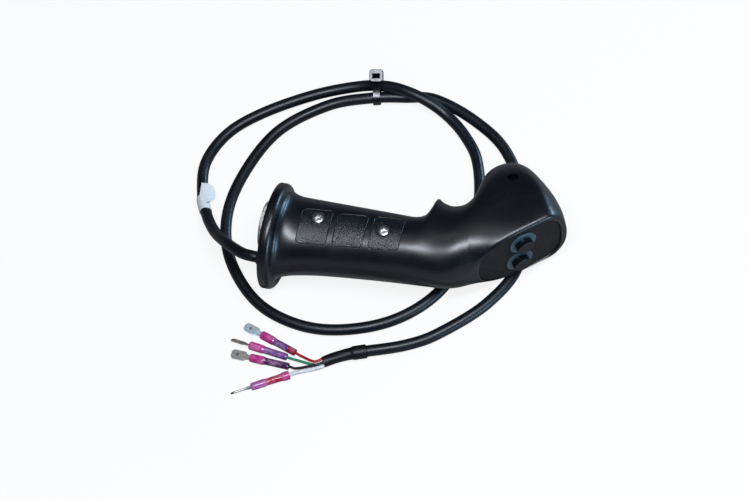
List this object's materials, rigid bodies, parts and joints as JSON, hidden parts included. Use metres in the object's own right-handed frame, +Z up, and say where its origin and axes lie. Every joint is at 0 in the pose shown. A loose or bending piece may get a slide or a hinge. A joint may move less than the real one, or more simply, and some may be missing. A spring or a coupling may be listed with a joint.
{
  "type": "joystick handgrip",
  "caption": "Clamshell joystick handgrip on a round base flange, with thumb push-buttons in an oval plate, a finger rest and a looped connection cable",
  "frame": {"origin": "under the middle of the grip, on the surface the grip lies on", "axes": "+X along the grip from the base flange to the head, +Y from the rear to the front (finger side), +Z up from the surface, towards the grip's left side"},
  "size_m": [0.239, 0.2324, 0.0655],
  "materials": {
    "shell_plastic": "satin moulded",
    "plate_plastic": "matte moulded",
    "bezel_metal": "satin grey-green",
    "cap_plastic": "glossy side, matte top",
    "white_plastic": "matte",
    "switch_plastic": "matte",
    "contact_brass": "tinned",
    "zinc_steel": "zinc plated",
    "adapter_steel": "machined",
    "spring_steel": "drawn wire",
    "black_rubber": "matte",
    "cable_jacket": "satin jacket",
    "tie_nylon": "satin",
    "label_paper": "matte paper",
    "red_insulation": "satin",
    "green_insulation": "satin",
    "black_insulation": "satin",
    "white_insulation": "satin",
    "magenta_sleeve": "shiny soft vinyl",
    "crimson_sleeve": "shiny soft vinyl",
    "tinned_terminal": "tinned"
  },
  "bodies": {
    "grip": {"left_shell": "shell_plastic", "right_shell": "shell_plastic", "face_plate": "plate_plastic", "left_bezel": "bezel_metal", "right_bezel": "bezel_metal", "left_washer": "black_rubber", "right_washer": "black_rubber", "left_nut": "zinc_steel", "right_nut": "zinc_steel", "left_spring": "spring_steel", "right_spring": "spring_steel", "left_switch": "switch_plastic", "right_switch": "switch_plastic", "left_pins": "contact_brass", "right_pins": "contact_brass", "handle_screws": "zinc_steel", "head_screw": "zinc_steel", "shell_nuts": "zinc_steel", "lever_adapter": "adapter_steel", "cable_grommet": "black_rubber", "inner_cable": "cable_jacket", "cable": "cable_jacket", "cable_tie": "tie_nylon", "cable_label": "label_paper", "end_sleeve": "black_rubber", "red_lead": "red_insulation", "green_lead": "green_insulation", "black_lead": "black_insulation", "white_lead": "white_insulation", "red_terminal": "tinned_terminal", "green_terminal": "tinned_terminal", "black_terminal": "tinned_terminal", "white_terminal": "tinned_terminal", "red_terminal_sleeve": "magenta_sleeve", "green_terminal_sleeve": "magenta_sleeve", "black_terminal_sleeve": "magenta_sleeve", "white_terminal_sleeve": "crimson_sleeve"},
    "left_button": {"left_cap": "cap_plastic", "left_stem": "white_plastic"},
    "right_button": {"right_cap": "cap_plastic", "right_stem": "white_plastic"}
  },
  "joints": [
    {"name": "left_press", "type": "slide", "parent": "grip", "child": "left_button", "axis": [-0.6639, 0.7478, 0], "range_m": [0, 0.0025], "stiffness_N_per_m": 600, "springref_m": -0.002, "deforming": ["left_spring"]},
    {"name": "right_press", "type": "slide", "parent": "grip", "child": "right_button", "axis": [-0.6639, 0.7478, 0], "range_m": [0, 0.0025], "stiffness_N_per_m": 600, "springref_m": -0.002, "deforming": ["right_spring"]}
  ]
}
